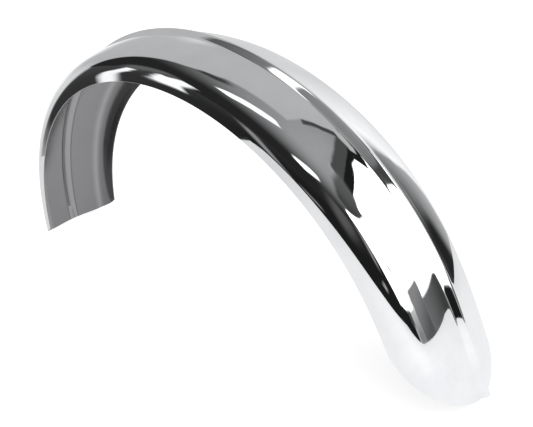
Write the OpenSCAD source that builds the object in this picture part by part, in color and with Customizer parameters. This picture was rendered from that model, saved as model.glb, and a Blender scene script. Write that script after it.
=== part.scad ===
// Chromed steel mudguard, pressed from one sheet. A crowned section with round
// shoulders and a raised centre bead is carried along an arc about the wheel
// centre. The front end is cut square with its corners set back. The tail is
// cut to a rounded tip and flares outwards. The guard stands on its two ends.

/* [Arc] */
// Radius of the two side edges about the wheel centre
edge_r = 325; // [250:5:400]
// Angle of the front cut at the centre line, from the level line at the tail side
front_angle = 182.2; // [150:0.1:190]
// Angle by which the front cut is set back at the side edges
front_setback = 4.3; // [0:0.1:8]
// Angle of the tip of the tail
tip_angle = 15.7; // [0:0.1:40]

/* [Section] */
// Width over the side edges
width = 127; // [100:1:160]
// Rise of the crown above the side edges, without the bead
rise = 40; // [34:0.5:48]
// Outer radius of the shoulders
shoulder_r = 25.4; // [20:0.1:27]
// Height of the straight flank below the shoulder
flank_h = 9; // [4:0.5:10]
// Outward lean of the flank
flank_lean = 3.3; // [0:0.1:8]
// Thickness of the sheet
sheet = 1.5; // [1:0.1:2]

/* [Bead] */
// Width of the centre bead from foot to foot
bead_w = 15.8; // [14:0.2:24]
// Width of the rounded top between the straight sides of the bead
bead_top = 4.8; // [4.4:0.2:9]
// Height of the centre bead
bead_h = 4.8; // [3:0.1:6.4]
// Angle between the front cut and the end of the bead
bead_gap = 2.6; // [0:0.1:6]
// Angle over which the bead runs out
bead_runout = 2.2; // [1:0.1:6]

/* [Tail] */
// Angle by which the tail outline rises from the tip to the shoulders
tail_round = 9.7; // [4:0.1:14]
// Further angle of the small corner where the outline meets the side edge
tail_corner = 1.8; // [0.5:0.1:4]
// Angle at which the outward flare starts
flare_start = 38; // [30:1:50]
// Outward flare at the tip
flare_out = 12; // [0:0.5:20]
// Power of the flare, higher for a flare that is kept nearer the tip
flare_power = 2.7; // [2:0.1:4]

/* [Fineness] */
// Steps along the arc
arc_steps = 66; // [40:1:70]
// Steps across the crown on each side of the bead
crown_steps = 6; // [3:1:8]
// Steps round each shoulder
shoulder_steps = 6; // [4:1:8]
// Steps from the middle of the bead to the end of its rounded top
bead_steps = 4; // [3:1:6]

/* [Hidden] */

corner_power = 24;
setback_power = 4;
flank_steps = 2;
side_steps = 2;
mm_per_degree = PI / 180;

// Centre of the shoulder arc and radius of the crown arc that runs into it
flank_top_y = width / 2 - flank_h * tan(flank_lean);
shoulder_y = flank_top_y - shoulder_r * cos(flank_lean);
shoulder_z = flank_h - shoulder_r * sin(flank_lean);
crown_drop = rise - shoulder_z;
crown_r = (shoulder_y ^ 2 + crown_drop ^ 2 - shoulder_r ^ 2) / (2 * (crown_drop - shoulder_r));
join_angle = atan2(shoulder_y, crown_r - crown_drop);

// Lengths round one half of the section, from the centre line to the edge
crown_len = crown_r * join_angle * mm_per_degree;
shoulder_len = shoulder_r * (90 - flank_lean - join_angle) * mm_per_degree;
half_len = crown_len + shoulder_len + flank_h / cos(flank_lean);

// Place and direction of the plain section at a length s from the centre line
function section_point(s) =
    s <= crown_len
        ? let (a = s / crown_r / mm_per_degree)
          [crown_r * sin(a), rise - crown_r + crown_r * cos(a), a]
    : s <= crown_len + shoulder_len
        ? let (a = join_angle + (s - crown_len) / shoulder_r / mm_per_degree)
          [shoulder_y + shoulder_r * sin(a), shoulder_z + shoulder_r * cos(a), a]
    : let (d = s - crown_len - shoulder_len, a = 90 - flank_lean)
      [flank_top_y + d * cos(a), flank_h - d * sin(a), a];

// Height and slope of the bead at a length s from the centre line
foot_s = bead_w / 2;
top_s = bead_top / 2;
side_slope = bead_h / (foot_s - top_s / 2);
function bead_height(s) =
    s >= foot_s ? 0
    : s >= top_s ? side_slope * (foot_s - s)
    : bead_h - side_slope * s ^ 2 / (2 * top_s);
function bead_slope(s) = s >= foot_s ? 0 : -side_slope * min(1, s / top_s);

// Share of the bead's height left at an angle, as it runs out before the front cut
function bead_share(angle) =
    let (t = (front_angle - bead_gap - angle) / bead_runout)
    t <= 0 ? 0 : t >= 1 ? 1 : t * t * (3 - 2 * t);

// Limits of the sheet along the arc at a share g of the half section
function tail_angle(g) = tip_angle + tail_round * g ^ 2 + tail_corner * g ^ corner_power;
function front_cut(g) = front_angle - front_setback * g ^ setback_power;

function flare(angle) =
    angle >= flare_start ? 0
    : flare_out * ((flare_start - angle) / (flare_start - tip_angle)) ^ flare_power;

// Point of the outer face, or of the inner face when depth is the sheet
function sheet_point(s, side, angle, depth) =
    let (
        p = section_point(s),
        share = bead_share(angle),
        turn = p[2] - atan(share * bead_slope(s)),
        y = p[0] - depth * sin(turn),
        r = edge_r + p[1] + share * bead_height(s) + flare(angle) - depth * cos(turn)
    )
    [r * cos(angle), side * y, r * sin(angle)];

// Lengths from the centre line at which the section is sampled
top_marks = [for (i = [0:bead_steps]) top_s * i / bead_steps];
side_marks = [for (i = [1:side_steps]) top_s + (foot_s - top_s) * i / side_steps];
crown_marks = [for (i = [1:crown_steps]) foot_s + (crown_len - foot_s) * i / crown_steps];
shoulder_marks = [for (i = [1:shoulder_steps]) crown_len + shoulder_len * i / shoulder_steps];
flank_marks = [for (i = [1:flank_steps])
    crown_len + shoulder_len + (half_len - crown_len - shoulder_len) * i / flank_steps];
half_marks = concat(top_marks, side_marks, crown_marks, shoulder_marks, flank_marks);
last_mark = len(half_marks) - 1;
columns = concat(
    [for (i = [last_mark:-1:1]) [half_marks[i], -1]],
    [for (i = [0:last_mark]) [half_marks[i], 1]]
);

function lerp(a, b, t) = a + (b - a) * t;

// Grid of one face: rows run across the sheet, from the tail to the front
function face_points(depth) = [
    for (i = [0:arc_steps], c = columns)
        let (g = c[0] / half_len)
        sheet_point(c[0], c[1], lerp(tail_angle(g), front_cut(g), i / arc_steps), depth)
];

// Closed skin over two grids of rows by cols points, the outer one first
function skin_faces(rows, cols) =
    let (
        inner = rows * cols,
        grid = [for (i = [0:rows - 2], j = [0:cols - 2]) i * cols + j],
        ends = [for (j = [0:cols - 2]) j],
        sides = [for (i = [0:rows - 2]) i * cols],
        top = (rows - 1) * cols
    )
    concat(
        [for (k = grid) [k, k + 1, k + cols + 1]],
        [for (k = grid) [k, k + cols + 1, k + cols]],
        [for (k = grid) [inner + k, inner + k + cols + 1, inner + k + 1]],
        [for (k = grid) [inner + k, inner + k + cols, inner + k + cols + 1]],
        [for (j = ends) [j, inner + j, inner + j + 1, j + 1]],
        [for (j = ends) [top + j, top + j + 1, inner + top + j + 1, inner + top + j]],
        [for (k = sides) [k, k + cols, inner + k + cols, inner + k]],
        [for (k = sides) let (m = k + cols - 1) [m, inner + m, inner + m + cols, m + cols]]
    );

// The guard is turned so that its two ends stand level
tip_point = sheet_point(0, 1, tip_angle, 0);
front_point = sheet_point(0, 1, front_angle, 0);
stand_turn = atan2(tip_point[2] - front_point[2], tip_point[0] - front_point[0]);
function stand(p) = [
    p[0] * cos(stand_turn) + p[2] * sin(stand_turn),
    p[1],
    p[2] * cos(stand_turn) - p[0] * sin(stand_turn)
];

sheet_points = [for (p = concat(face_points(0), face_points(sheet))) stand(p)];
xs = [for (p = sheet_points) p[0]];
zs = [for (p = sheet_points) p[2]];
foot = [(min(xs) + max(xs)) / 2, 0, min(zs)];

module fender() {
    color("silver")
        translate(-foot)
            polyhedron(sheet_points, skin_faces(arc_steps + 1, len(columns)), convexity = 6);
}

fender();
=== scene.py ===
"""Motorcycle fender: one polished, chromed steel pressing that stands on its two ends.

The sheet's outside and inside are built from the dimensions of the CAD part, with a finer mesh than the
packed one. Lengths are in millimetres until a point is turned into the frame, which is in metres.
"""

import math

import bpy
import numpy as np
from mathutils import Matrix, Vector


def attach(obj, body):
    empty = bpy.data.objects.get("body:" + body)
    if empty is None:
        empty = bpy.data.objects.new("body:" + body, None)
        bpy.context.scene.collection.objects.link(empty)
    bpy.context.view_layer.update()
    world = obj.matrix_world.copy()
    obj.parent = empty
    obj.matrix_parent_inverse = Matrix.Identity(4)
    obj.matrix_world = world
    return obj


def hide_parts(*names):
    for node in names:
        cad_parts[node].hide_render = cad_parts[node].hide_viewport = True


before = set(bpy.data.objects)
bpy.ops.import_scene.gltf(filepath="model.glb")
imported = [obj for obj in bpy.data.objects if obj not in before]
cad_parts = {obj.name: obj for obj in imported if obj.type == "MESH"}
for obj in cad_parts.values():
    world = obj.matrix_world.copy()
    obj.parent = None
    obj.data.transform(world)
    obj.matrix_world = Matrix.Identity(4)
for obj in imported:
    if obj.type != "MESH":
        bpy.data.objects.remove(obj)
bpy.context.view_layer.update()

# Sheet and section, millimetres. Angles go round the wheel's centre: 0 towards the tail, 90 at the crown.
EDGE_R = 325.0
WIDTH = 127.0
RISE = 40.0
SHOULDER_R = 25.4
FLANK_H = 9.0
FLANK_LEAN = math.radians(3.3)
SHEET = 1.5
EDGE_BREAK = 0.3
BEAD_W, BEAD_TOP, BEAD_H = 15.8, 4.8, 4.8
BEAD_FOOT = 1.0
BEAD_GAP, BEAD_RUNOUT = 2.6, 2.2
FRONT_ANGLE, FRONT_SETBACK, SETBACK_POWER = 182.2, 4.3, 4
TIP_ANGLE, TAIL_ROUND, TAIL_CORNER, CORNER_POWER = 15.7, 9.7, 1.8, 24
FLARE_START, FLARE_OUT, FLARE_POWER = 38.0, 12.0, 2.7

MM_PER_M = 1000

# Mesh steps along the arc and, for each half of the section, over the bead, crown, shoulder and flank.
ARC_STEPS = 330
BEAD_STEPS, CROWN_STEPS, SHOULDER_STEPS, FLANK_STEPS = (8, 5, 4), 16, 20, 4


# ---- Section and outline ----

FLANK_TOP_Y = WIDTH / 2 - FLANK_H * math.tan(FLANK_LEAN)
SHOULDER_Y = FLANK_TOP_Y - SHOULDER_R * math.cos(FLANK_LEAN)
SHOULDER_Z = FLANK_H - SHOULDER_R * math.sin(FLANK_LEAN)
CROWN_OVER = RISE - SHOULDER_Z
CROWN_R = (SHOULDER_Y**2 + CROWN_OVER**2 - SHOULDER_R**2) / (2 * (CROWN_OVER - SHOULDER_R))
JOIN = math.atan2(SHOULDER_Y, CROWN_R - CROWN_OVER)
CROWN_LEN = CROWN_R * JOIN
SHOULDER_END = CROWN_LEN + SHOULDER_R * (math.pi / 2 - FLANK_LEAN - JOIN)
HALF_GIRTH = SHOULDER_END + FLANK_H / math.cos(FLANK_LEAN)


def section(s):
    """Y, height over the edge and slope of the plain section, s millimetres round from the centre line."""
    crown, shoulder, flank = s / CROWN_R, JOIN + (s - CROWN_LEN) / SHOULDER_R, math.pi / 2 - FLANK_LEAN
    down = s - SHOULDER_END
    on = [s <= CROWN_LEN, s <= SHOULDER_END]
    y = np.select(on, [CROWN_R * np.sin(crown), SHOULDER_Y + SHOULDER_R * np.sin(shoulder)],
                  FLANK_TOP_Y + down * math.cos(flank))
    z = np.select(on, [RISE - CROWN_R * (1 - np.cos(crown)), SHOULDER_Z + SHOULDER_R * np.cos(shoulder)],
                  FLANK_H - down * math.sin(flank))
    return y, z, np.select(on, [crown, shoulder], flank)


def bead_profile(s):
    """Height and slope of the bead: a rounded top, straight sides and a small hollow radius at the foot."""
    foot, top = BEAD_W / 2, BEAD_TOP / 2
    steep = BEAD_H / (foot - top / 2)
    to_end = foot + BEAD_FOOT - s
    on = [s >= foot + BEAD_FOOT, s > foot - BEAD_FOOT, s > top]
    height = np.select(on, [0 * s, steep * to_end**2 / (4 * BEAD_FOOT), steep * (foot - s)],
                       BEAD_H - steep * s**2 / (2 * top))
    slope = np.select(on, [0 * s, -steep * to_end / (2 * BEAD_FOOT), 0 * s - steep], -steep * s / top)
    return height, slope


def sheet_point(s, side, angle, depth):
    """A point of the sheet before it is stood up: s round the section, depth below the outer face."""
    y, z, slope = section(s)
    share = np.clip((FRONT_ANGLE - BEAD_GAP - angle) / BEAD_RUNOUT, 0, 1)
    share = share * share * (3 - 2 * share)
    bead, bead_slope = bead_profile(s)
    slope = slope - np.arctan(share * bead_slope)
    flare = FLARE_OUT * np.clip((FLARE_START - angle) / (FLARE_START - TIP_ANGLE), 0, None) ** FLARE_POWER
    r = EDGE_R + z + share * bead + flare - depth * np.cos(slope)
    turn = np.radians(angle)
    return np.stack([r * np.cos(turn), side * (y - depth * np.sin(slope)), r * np.sin(turn)], -1)


def tail_angle(g):
    """Where the tail ends, at share g of the half girth."""
    return TIP_ANGLE + TAIL_ROUND * g**2 + TAIL_CORNER * g**CORNER_POWER


def front_angle(g):
    """Where the front end is cut, at share g of the half girth."""
    return FRONT_ANGLE - FRONT_SETBACK * g**SETBACK_POWER


def one_point(angle):
    return sheet_point(np.zeros(1), 1, np.full(1, angle), 0)[0]


TIP, FRONT = one_point(TIP_ANGLE), one_point(FRONT_ANGLE)
STAND = math.atan2(TIP[2] - FRONT[2], TIP[0] - FRONT[0])


def stood(points):
    """The points turned so that both ends of the guard stand level."""
    c, n = math.cos(STAND), math.sin(STAND)
    x, y, z = points[..., 0], points[..., 1], points[..., 2]
    return np.stack([x * c + z * n, y, z * c - x * n], -1)


# ---- Mesh ----

def half_stations():
    """Distances round one half of the section, from the centre line to the edge."""
    foot = BEAD_W / 2
    stops = [0, BEAD_TOP / 2, foot - BEAD_FOOT, foot + BEAD_FOOT, CROWN_LEN, SHOULDER_END, HALF_GIRTH]
    steps = [*BEAD_STEPS, CROWN_STEPS, SHOULDER_STEPS, FLANK_STEPS]
    runs = [np.linspace(a, b, n, endpoint=False) for a, b, n in zip(stops, stops[1:], steps)]
    return np.concatenate(runs + [[HALF_GIRTH]])


def face_grid(depth):
    """One face of the sheet: rows along the arc, columns from the -Y to the +Y edge, in millimetres."""
    s = half_stations()
    signed = np.concatenate([-s[:0:-1], s])
    g = np.abs(signed) / HALF_GIRTH
    t = np.linspace(0, 1, ARC_STEPS + 1)[:, None]
    angle = tail_angle(g) * (1 - t) + front_angle(g) * t
    side = np.where(signed < 0, -1.0, 1.0)
    return stood(sheet_point(np.broadcast_to(np.abs(signed), angle.shape), side, angle, depth))


def sheet_mesh(name):
    """The closed sheet: outer face, inner face and the cut edge between them, as materials 0, 1 and 2."""
    outer, inner = face_grid(0.0), face_grid(SHEET)
    rows, cols = outer.shape[:2]
    points = np.concatenate([outer.reshape(-1, 3), inner.reshape(-1, 3)])
    low, high = points.min(0), points.max(0)
    foot = np.array([(low[0] + high[0]) / 2, 0, low[2]])
    points = (points - foot) / MM_PER_M
    ids = np.arange(rows * cols).reshape(rows, cols)
    a, b, c, d = ids[:-1, :-1], ids[:-1, 1:], ids[1:, 1:], ids[1:, :-1]
    out_faces = np.stack([a, b, c, d], -1).reshape(-1, 4)
    in_faces = np.stack([a, d, c, b], -1).reshape(-1, 4) + rows * cols
    loop = np.concatenate([ids[0, :-1], ids[:-1, -1], ids[-1, :0:-1], ids[:0:-1, 0]])
    ahead = np.roll(loop, -1)
    rim = np.stack([ahead, loop, loop + rows * cols, ahead + rows * cols], -1)
    faces = np.concatenate([out_faces, in_faces, rim])
    mesh = bpy.data.meshes.new(name)
    mesh.from_pydata(points.tolist(), [], faces.tolist())
    slots = np.concatenate([np.zeros(len(out_faces)), np.ones(len(in_faces)), np.full(len(rim), 2)])
    mesh.polygons.foreach_set("material_index", slots.astype(np.int32))
    mesh.polygons.foreach_set("use_smooth", np.ones(len(faces), bool))
    mesh.validate()
    mesh.update()
    return mesh


# ---- Materials ----

def node_material(name):
    """A new node material, with its node tree and its shader."""
    made = bpy.data.materials.new(name)
    made.use_nodes = True
    tree = made.node_tree
    return made, tree, tree.nodes["Principled BSDF"]


def add(tree, kind, **values):
    """A node of this kind; values that name a socket fill it, and the others are the node's own settings."""
    node = tree.nodes.new(kind)
    for key, value in values.items():
        socket = key.replace("_", " ")
        if socket in node.inputs:
            node.inputs[socket].default_value = value
        else:
            setattr(node, key, value)
    return node


def stretched(tree, scale):
    """Object coordinates, in metres, stretched by scale."""
    coords = add(tree, "ShaderNodeTexCoord")
    mapping = add(tree, "ShaderNodeMapping", Scale=scale)
    tree.links.new(coords.outputs["Object"], mapping.inputs["Vector"])
    return mapping.outputs["Vector"]


def remap(tree, source, low, high, start=0.0, end=1.0):
    """The source from low..high taken to start..end."""
    node = add(tree, "ShaderNodeMapRange")
    for socket, value in zip(("From Min", "From Max", "To Min", "To Max"), (low, high, start, end)):
        node.inputs[socket].default_value = value
    tree.links.new(source, node.inputs["Value"])
    return node.outputs["Result"]


def chrome_outside():
    """Bright polished chrome, faintly cloudy, with hair scratches and the slow wave of pressed sheet."""
    made, tree, shader = node_material("chrome outside")
    shader.inputs["Metallic"].default_value = 1.0
    links = tree.links
    haze = add(tree, "ShaderNodeTexNoise", Scale=28.0, Detail=4.0, Roughness=0.6)
    links.new(stretched(tree, (1, 1, 1)), haze.inputs["Vector"])
    hairs = add(tree, "ShaderNodeTexNoise", Scale=1.0, Detail=5.0, Roughness=0.65)
    links.new(stretched(tree, (60, 900, 60)), hairs.inputs["Vector"])
    rough = add(tree, "ShaderNodeMath", operation="ADD")
    links.new(remap(tree, haze.outputs["Fac"], 0.35, 0.7, 0.012, 0.045), rough.inputs[0])
    links.new(remap(tree, hairs.outputs["Fac"], 0.55, 0.8, 0.0, 0.03), rough.inputs[1])
    links.new(rough.outputs[0], shader.inputs["Roughness"])
    tint = add(tree, "ShaderNodeMix", data_type="RGBA")
    tint.inputs["A"].default_value = (0.90, 0.91, 0.92, 1)
    tint.inputs["B"].default_value = (0.82, 0.83, 0.85, 1)
    links.new(remap(tree, haze.outputs["Fac"], 0.3, 0.75), tint.inputs["Factor"])
    links.new(tint.outputs["Result"], shader.inputs["Base Color"])
    wave = add(tree, "ShaderNodeTexNoise", Scale=9.0, Detail=2.0, Roughness=0.4)
    links.new(stretched(tree, (1, 1.6, 1)), wave.inputs["Vector"])
    bump = add(tree, "ShaderNodeBump", Strength=1.0, Distance=0.0004)
    links.new(wave.outputs["Fac"], bump.inputs["Height"])
    links.new(bump.outputs["Normal"], shader.inputs["Normal"])
    return made


# Brightness of the inside plating at shares of the half width, from the centre line to the edge, as painted
# light and shade:
# a painted highlight on the sides of the bead and on the shoulder, painted shade in the line at the bead's
# foot and in the flank.
PAINTED_LIGHT_ACROSS = ((0.0, 0.75), (0.04, 1.0), (0.10, 1.0), (0.125, 0.45), (0.15, 0.75), (0.66, 0.72),
                  (0.78, 1.0), (0.86, 0.6), (1.0, 0.45))


def plating_inside():
    """Dull satin plating inside: drawn grain and mottled plating, with a painted highlight on the sides of the
    bead and the shoulder and painted shade at the bead's foot and in the flanks.
    """
    made, tree, shader = node_material("plating inside")
    shader.inputs["Metallic"].default_value = 1.0
    links = tree.links
    mottle = add(tree, "ShaderNodeTexNoise", Scale=22.0, Detail=6.0, Roughness=0.62)
    links.new(stretched(tree, (1, 1, 1)), mottle.inputs["Vector"])
    grain = add(tree, "ShaderNodeTexNoise", Scale=1.0, Detail=6.0, Roughness=0.7)
    links.new(stretched(tree, (240, 1500, 240)), grain.inputs["Vector"])
    tint = add(tree, "ShaderNodeMix", data_type="RGBA")
    tint.inputs["A"].default_value = (0.44, 0.43, 0.44, 1)
    tint.inputs["B"].default_value = (0.46, 0.46, 0.47, 1)
    links.new(remap(tree, mottle.outputs["Fac"], 0.32, 0.7), tint.inputs["Factor"])
    # Painted light and shade: the distance off the centre line picks a painted highlight or painted shade,
    # which multiplies the plating colour.
    across = add(tree, "ShaderNodeSeparateXYZ")
    links.new(stretched(tree, (1, 1, 1)), across.inputs[0])
    off_centre = add(tree, "ShaderNodeMath", operation="ABSOLUTE")
    links.new(across.outputs["Y"], off_centre.inputs[0])
    half_share = remap(tree, off_centre.outputs[0], 0.0, WIDTH / 2 / MM_PER_M)
    depth = add(tree, "ShaderNodeValToRGB")
    ramp = depth.color_ramp.elements
    for stop, (_, level) in zip(list(ramp), (PAINTED_LIGHT_ACROSS[0], PAINTED_LIGHT_ACROSS[-1])):
        stop.color = (level, level, level, 1)
    for at, level in PAINTED_LIGHT_ACROSS[1:-1]:
        ramp.new(at).color = (level, level, level, 1)
    links.new(half_share, depth.inputs["Fac"])
    # The plating colour times the painted highlight and shade across the width.
    plating_with_painted_light = add(tree, "ShaderNodeMix", data_type="RGBA", blend_type="MULTIPLY")
    plating_with_painted_light.inputs["Factor"].default_value = 1.0
    links.new(tint.outputs["Result"], plating_with_painted_light.inputs["A"])
    links.new(depth.outputs["Color"], plating_with_painted_light.inputs["B"])
    links.new(plating_with_painted_light.outputs["Result"], shader.inputs["Base Color"])
    rough = add(tree, "ShaderNodeMath", operation="ADD")
    links.new(remap(tree, mottle.outputs["Fac"], 0.3, 0.75, 0.16, 0.26), rough.inputs[0])
    links.new(remap(tree, grain.outputs["Fac"], 0.3, 0.8, -0.03, 0.05), rough.inputs[1])
    links.new(rough.outputs[0], shader.inputs["Roughness"])
    bump = add(tree, "ShaderNodeBump", Strength=0.35, Distance=0.0002)
    links.new(grain.outputs["Fac"], bump.inputs["Height"])
    links.new(bump.outputs["Normal"], shader.inputs["Normal"])
    return made


def cut_edge():
    """The sheared and deburred edge of the sheet, with plating over its fine file marks; its dark colour is
    partly the edge's own duller plating and partly painted shade for the dark line along the sheet's edge.
    """
    made, tree, shader = node_material("cut edge")
    shader.inputs["Metallic"].default_value = 1.0
    links = tree.links
    marks = add(tree, "ShaderNodeTexNoise", Scale=700.0, Detail=4.0, Roughness=0.7)
    links.new(stretched(tree, (1, 1, 1)), marks.inputs["Vector"])
    # The file marks vary the edge colour; its darkness is partly the edge's own and partly painted shade for
    # the dark line along the edge.
    tint = add(tree, "ShaderNodeMix", data_type="RGBA")
    tint.inputs["A"].default_value = (0.26, 0.26, 0.27, 1)
    tint.inputs["B"].default_value = (0.44, 0.43, 0.44, 1)
    links.new(remap(tree, marks.outputs["Fac"], 0.3, 0.7), tint.inputs["Factor"])
    links.new(tint.outputs["Result"], shader.inputs["Base Color"])
    links.new(remap(tree, marks.outputs["Fac"], 0.3, 0.7, 0.22, 0.38), shader.inputs["Roughness"])
    return made


# ---- The fender ----

fender = bpy.data.objects.new("fender_sheet", sheet_mesh("fender_sheet"))
bpy.context.scene.collection.objects.link(fender)
for made in (chrome_outside(), plating_inside(), cut_edge()):
    fender.data.materials.append(made)
edge = fender.modifiers.new("edge break", "BEVEL")
edge.width = EDGE_BREAK / MM_PER_M
edge.segments = 2
edge.limit_method = "ANGLE"
edge.angle_limit = math.radians(55)
edge.harden_normals = True
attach(fender, "root")
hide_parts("fender")


# ---- Floor and table ----

# Metres. The camera sees only the floor. The chrome sees only the table, whose edges show up in the streaks.
FLOOR_CORNERS = [(-40, -40), (40, -40), (40, 40), (-40, 40)]
TABLE_CORNERS = [(-0.85, -0.8), (1.45, -0.8), (1.0, 0.45), (-0.85, 0.62)]
TABLE_DROP = 0.0005
GLOW_CENTRE, GLOW_FROM, GLOW_TO = (0.62, -0.26, 0), 0.1, 0.85


def plane(name, corners, height):
    """A level sheet between four corners, in metres."""
    mesh = bpy.data.meshes.new(name)
    mesh.from_pydata([(x, y, height) for x, y in corners], [], [(0, 1, 2, 3)])
    made = bpy.data.objects.new(name, mesh)
    bpy.context.scene.collection.objects.link(made)
    return made


def pale(name, value, glow, glow_far):
    """A pale matt finish with a trace of tooth. It glows, so that shadows on it stay faint, and the glow goes
    over to glow_far away from the tail."""
    made, tree, shader = node_material(name)
    tooth = add(tree, "ShaderNodeTexNoise", Scale=6.0, Detail=3.0)
    tree.links.new(stretched(tree, (1, 1, 1)), tooth.inputs["Vector"])
    tint = add(tree, "ShaderNodeMix", data_type="RGBA")
    tint.inputs["A"].default_value = (1, 1, 1, 1)
    tint.inputs["B"].default_value = (0.95, 0.95, 0.96, 1)
    tree.links.new(tooth.outputs["Fac"], tint.inputs["Factor"])
    tree.links.new(tint.outputs["Result"], shader.inputs["Emission Color"])
    shader.inputs["Base Color"].default_value = (value, value, value, 1)
    near_tail = add(tree, "ShaderNodeVectorMath", operation="DISTANCE")
    tree.links.new(stretched(tree, (1, 1, 1)), near_tail.inputs[0])
    near_tail.inputs[1].default_value = GLOW_CENTRE
    strength = remap(tree, near_tail.outputs["Value"], GLOW_FROM, GLOW_TO, glow, glow_far)
    tree.links.new(strength, shader.inputs["Emission Strength"])
    shader.inputs["Roughness"].default_value = 0.9
    shader.inputs["Specular IOR Level"].default_value = 0.1
    return made


floor = plane("floor", FLOOR_CORNERS, 0.0)
floor.data.materials.append(pale("floor pale", 0.5, 0.72, 0.85))
for rays in ("visible_glossy", "visible_diffuse", "visible_shadow"):
    setattr(floor, rays, False)
table = plane("table", TABLE_CORNERS, -TABLE_DROP)
table.data.materials.append(pale("table pale", 0.25, 0.88, 0.58))
table.visible_camera = False


# ---- Studio: the room that the chrome sees ----

room = bpy.data.worlds.new("studio")
bpy.context.scene.world = room
room.use_nodes = True
sky = room.node_tree
sky.nodes.clear()


def maths(operation, *sources):
    """The result of one operation on the sources, which are numbers or sockets."""
    node = add(sky, "ShaderNodeMath", operation=operation)
    for socket, source in zip(node.inputs, sources):
        if isinstance(source, (int, float)):
            socket.default_value = source
        else:
            sky.links.new(source, socket)
    return node.outputs[0]


def blend(source, low, high, start, end, kind="SMOOTHSTEP"):
    """The source from low..high taken to start..end, held at both ends."""
    node = add(sky, "ShaderNodeMapRange", interpolation_type=kind)
    for socket, value in zip(("From Min", "From Max", "To Min", "To Max"), (low, high, start, end)):
        node.inputs[socket].default_value = value
    sky.links.new(source, node.inputs["Value"])
    return node.outputs["Result"]


# The two maps on which the room is drawn, and how far their outlines waver: in degrees on the wall, and at
# unit height on the ceiling, which is drawn down to a sine of LOWEST_CEILING.
TO_DEGREES = 180 / math.pi
WALL_WOBBLE, CEILING_WOBBLE = 3.0, 0.04
LOWEST_CEILING = 0.05

sight = add(sky, "ShaderNodeTexCoord")
ripple = add(sky, "ShaderNodeTexNoise", Scale=9.0, Detail=3.0, Roughness=0.55)
sky.links.new(sight.outputs["Generated"], ripple.inputs["Vector"])
axes = add(sky, "ShaderNodeSeparateXYZ")
sky.links.new(sight.outputs["Generated"], axes.inputs[0])
ahead, aside, above = axes.outputs["X"], axes.outputs["Y"], axes.outputs["Z"]
wobble = maths("SUBTRACT", ripple.outputs["Fac"], 0.5)
height = maths("MAXIMUM", above, LOWEST_CEILING)
bearing = maths("ARCTAN2", aside, ahead)
wall = (maths("MULTIPLY_ADD", bearing, TO_DEGREES, maths("MULTIPLY", wobble, WALL_WOBBLE)),
        maths("MULTIPLY", maths("ARCSINE", above), TO_DEGREES))
ceiling = (maths("MULTIPLY_ADD", wobble, CEILING_WOBBLE, maths("DIVIDE", ahead, height)),
           maths("DIVIDE", aside, height))


def dot(where, a, b, c):
    """a times across plus b times up plus c, on the map where."""
    return maths("MULTIPLY_ADD", where[1], b, maths("MULTIPLY_ADD", where[0], a, c))


def shape(under, where, corners, light, soft):
    """A flat shape of the room over what is under it, with edges soft wide. The map where is the wall, in
    degrees round and up, or the ceiling at unit height. The corners go round a convex outline against the
    clock. The light is a number, or runs from one value to another: between two points, or out from a centre
    to a radius."""
    mask = 1.0
    for (ax, ay), (bx, by) in zip(corners, corners[1:] + corners[:1]):
        run = math.hypot(bx - ax, by - ay)
        across, along = (by - ay) / run, (bx - ax) / run
        inside = blend(dot(where, -across, along, across * ax - along * ay), -soft / 2, soft / 2, 0, 1)
        mask = maths("MULTIPLY", inside, mask)
    node = add(sky, "ShaderNodeMix", data_type="FLOAT")
    sky.links.new(mask, node.inputs["Factor"])
    sky.links.new(under, node.inputs["A"])
    if isinstance(light, float):
        node.inputs["B"].default_value = light
        return node.outputs["Result"]
    if len(light) == 5:
        first, last, x, y, reach = light
        away = maths("SQRT", maths("ADD", maths("POWER", maths("SUBTRACT", where[0], x), 2.0),
                                   maths("POWER", maths("SUBTRACT", where[1], y), 2.0)))
        level = blend(away, 0, reach, first, last)
    else:
        first, last, x, y, to_x, to_y = light
        run = (to_x - x) ** 2 + (to_y - y) ** 2
        a, b = (to_x - x) / run, (to_y - y) / run
        level = blend(dot(where, a, b, -a * x - b * y), 0, 1, first, last, "LINEAR")
    sky.links.new(level, node.inputs["B"])
    return node.outputs["Result"]


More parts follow.
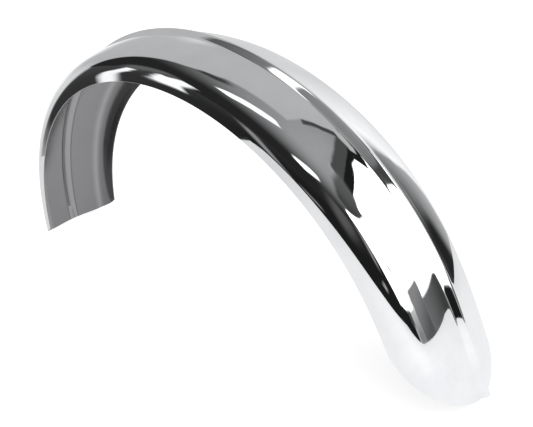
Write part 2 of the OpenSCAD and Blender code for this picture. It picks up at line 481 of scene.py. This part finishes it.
# Light where no shape is drawn, and the pool of light on the ceiling: inner and outer light, centre and reach.
PLAIN_WALL = 0.5
POOL = (0.36, 0.02, 0.5, 0.25, 1.75)
SHAPES = [
    # pale walls behind and beyond the tail, with a shaded corner
    (wall, [(140, -90), (182, -90), (182, 12), (140, 12)], 0.95, 16),
    (wall, [(-182, -90), (-150, -90), (-150, 14), (-182, 14)], 0.75, 16),
    (wall, [(140, 8), (182, 10), (182, 50), (140, 50)], 0.51, 16),
    (wall, [(80, -90), (141, -90), (141, 33), (80, 37)], (1.1, 0.73, 84, 0, 112, 0), 10),
    (wall, [(59, -90), (90, -90), (90, -5), (83, 11), (77, 23), (73, 23), (65, 12), (60, 0)],
     (0.04, 0.5, 62, 0, 88, 0), 3.5),
    (wall, [(59, -14), (78, -17), (70, 4), (60, 4)], 0.02, 8),
    # dark side of the room
    (wall, [(-152, -90), (-30, -90), (-20, 3), (-37, 35), (-54, 62), (-171, 65)],
     (0.013, 0.08, -95, 5, -120, 50), 6),
    # ceiling, lit in a pool
    (ceiling, [(-4, -4), (3, -4), (3, 0.22), (0.59, 0.24), (-4, -0.95)], POOL, 0.09),
    (ceiling, [(-0.63, -0.13), (0.6, -0.11), (0.6, 0.27), (-0.28, 0.23)], POOL, 0.05),
    (ceiling, [(0.2, 0.2), (0.65, 0.2), (0.53, 0.86), (0.4, 0.88), (0.22, 0.42)], POOL, 0.03),
    (ceiling, [(-0.46, -0.08), (-0.29, -0.06), (-0.19, 0.14), (-0.27, 0.22), (-0.45, 0.1)], 0.05, 0.1),
    # frame and stand of the softboxes
    (ceiling, [(0.42, 0.85), (0.66, 0.25), (0.95, 0.22), (0.58, 0.95)], 0.075, 0.05),
    (ceiling, [(0.58, 0.88), (0.86, 0.26), (1.06, 0.25), (0.72, 0.9)], 0.012, 0.025),
    (ceiling, [(0.56, 0.86), (0.72, 0.84), (0.88, 1.18), (0.74, 1.26)], 0.013, 0.03),
    (ceiling, [(0.23, 0.45), (0.27, 0.4), (0.45, 0.86), (0.39, 0.87)], 0.06, 0.03),
    (ceiling, [(0.74, 0.28), (0.93, -0.6), (1.34, -0.64), (1.5, 0.28)],
     (0.12, 0.06, 0.8, 0.25, 1.2, -0.2), 0.1),
    # the two softboxes, each on both maps
    (ceiling, [(1.47, 0.26), (1.27, -0.7), (1.24, -1.0), (6, -2.6), (6, 1)], 2.2, 0.03),
    (ceiling, [(0.7, 0.88), (1.04, 0.3), (1.15, 0.27), (1.5, 0.31), (4, 0.8), (4, 4), (2.5, 3.1),
               (0.88, 1.19)], 2.2, 0.02),
    (wall, [(-25, 3), (8, 3), (8, 36), (-35, 36.5), (-38.5, 34), (-30, 10)], 2.2, 1.2),
    (wall, [(9, 2), (46, 2), (50, 25), (51.5, 38), (50, 42), (44, 44), (16, 42.5), (9, 38)], 2.2, 1.2),
    (wall, [(-10, 17), (-3, 14), (-2, 17), (-8, 20)], 0.6, 2),
    # what stands behind the table's far edge
    (wall, [(-30, -90), (-8, -90), (-8, 2), (-24, 3.5)], 0.012, 1.5),
    (wall, [(-13, -1), (-4, -1), (-4, 3.5), (-13, 3)], 0.08, 2),
    (wall, [(-6, -90), (9.5, -90), (9.5, 3), (-4, 2)], (0.25, 0.6, 2, -3, 2, 3), 2),
    (wall, [(9.5, -90), (20.5, -90), (20.5, 8.5), (9.5, 8)], (0.26, 0.1, 12, 4, 16, -4), 1),
    (wall, [(20, -90), (60, -90), (61, -7), (46, 0), (39, 2.5), (20, 3)], (0.17, 0.05, 20, 0, 38, -8), 1.2),
    # strip lights on the ceiling
    (ceiling, [(-0.37, -0.5), (-0.26, -0.58), (0.1, -0.28), (0.22, -0.09), (0.16, 0.06), (-0.2, -0.3)],
     1.5, 0.06),
    (ceiling, [(0.23, -1.35), (0.4, -1.42), (0.67, -1.0), (0.63, -0.8), (0.5, -0.83), (0.26, -1.15)],
     1.5, 0.07),
    # windows and bright things on the dark side
    (wall, [(-150, 12), (-143, 10), (-132, 24), (-137, 27), (-148, 21)], 0.13, 6),
    (wall, [(-151, -9), (-148, -8), (-144, 9), (-147, 11)], 1.1, 1.5),
    (wall, [(-143, -6), (-138, -7), (-132, 9), (-138, 15)], 1.2, 2),
    (wall, [(-138, 11), (-132, 8), (-127, 20), (-132, 22)], 1.2, 2.5),
    (wall, [(-124, -11), (-118, -11), (-114, 8), (-119, 8)], 0.3, 5),
    (wall, [(-113, -9.5), (-110, -10.5), (-99, -5), (-101, -4)], 0.22, 2),
    (wall, [(-78, 6), (-61, 12), (-48, 25), (-60, 33), (-71, 24)], 0.1, 12),
    (wall, [(-44, 12), (-40, 11), (-36, 20), (-41, 28)], 0.3, 6),
    (wall, [(-54, 1), (-49, 0), (-44, 3), (-46, 5)], 0.33, 2),
]
light = maths("ADD", PLAIN_WALL, 0.0)
for values in SHAPES:
    light = shape(light, *values)

path = add(sky, "ShaderNodeLightPath")
seen = add(sky, "ShaderNodeMix", data_type="FLOAT")
sky.links.new(path.outputs["Is Camera Ray"], seen.inputs["Factor"])
sky.links.new(light, seen.inputs["A"])
seen.inputs["B"].default_value = 1.0
glow = add(sky, "ShaderNodeBackground", Color=(1, 1, 1, 1))
sky.links.new(seen.outputs["Result"], glow.inputs["Strength"])
out = add(sky, "ShaderNodeOutputWorld")
sky.links.new(glow.outputs[0], out.inputs["Surface"])


def soft_sun(name, place, spread, power):
    """A wide, soft light from this direction that reaches the floor and the table, unseen in the chrome."""
    lamp = bpy.data.lights.new(name, "SUN")
    lamp.angle = math.radians(spread)
    lamp.energy = power
    made = bpy.data.objects.new(name, lamp)
    made.location = place
    made.rotation_euler = Vector(place).to_track_quat("Z", "Y").to_euler()
    made.visible_glossy = False
    bpy.context.scene.collection.objects.link(made)
    return made


soft_sun("overhead", (0.3, -0.4, 3.0), 120, 1.2)


# ---- Camera ----

CAMERA_AT = Vector((0.4912, -0.3860, 0.3892))
CAMERA_AZIMUTH, CAMERA_ELEVATION, CAMERA_ROLL = map(math.radians, (44.50, 25.95, -7.04))
LENS, SENSOR = 36.11, 36.0

back = Vector((math.sin(CAMERA_AZIMUTH) * math.cos(CAMERA_ELEVATION),
               -math.cos(CAMERA_AZIMUTH) * math.cos(CAMERA_ELEVATION), math.sin(CAMERA_ELEVATION)))
level = Vector((math.cos(CAMERA_AZIMUTH), math.sin(CAMERA_AZIMUTH), 0))
upright = back.cross(level)
right = level * math.cos(CAMERA_ROLL) + upright * math.sin(CAMERA_ROLL)
up = upright * math.cos(CAMERA_ROLL) - level * math.sin(CAMERA_ROLL)

camera = bpy.data.objects.new("camera", bpy.data.cameras.new("camera"))
camera.data.lens, camera.data.sensor_width = LENS, SENSOR
camera.data.clip_start = 0.01
camera.matrix_world = Matrix.Translation(CAMERA_AT) @ Matrix((right, up, back)).transposed().to_4x4()
bpy.context.scene.collection.objects.link(camera)
bpy.context.scene.camera = camera
bpy.context.scene.view_settings.view_transform = "Standard"
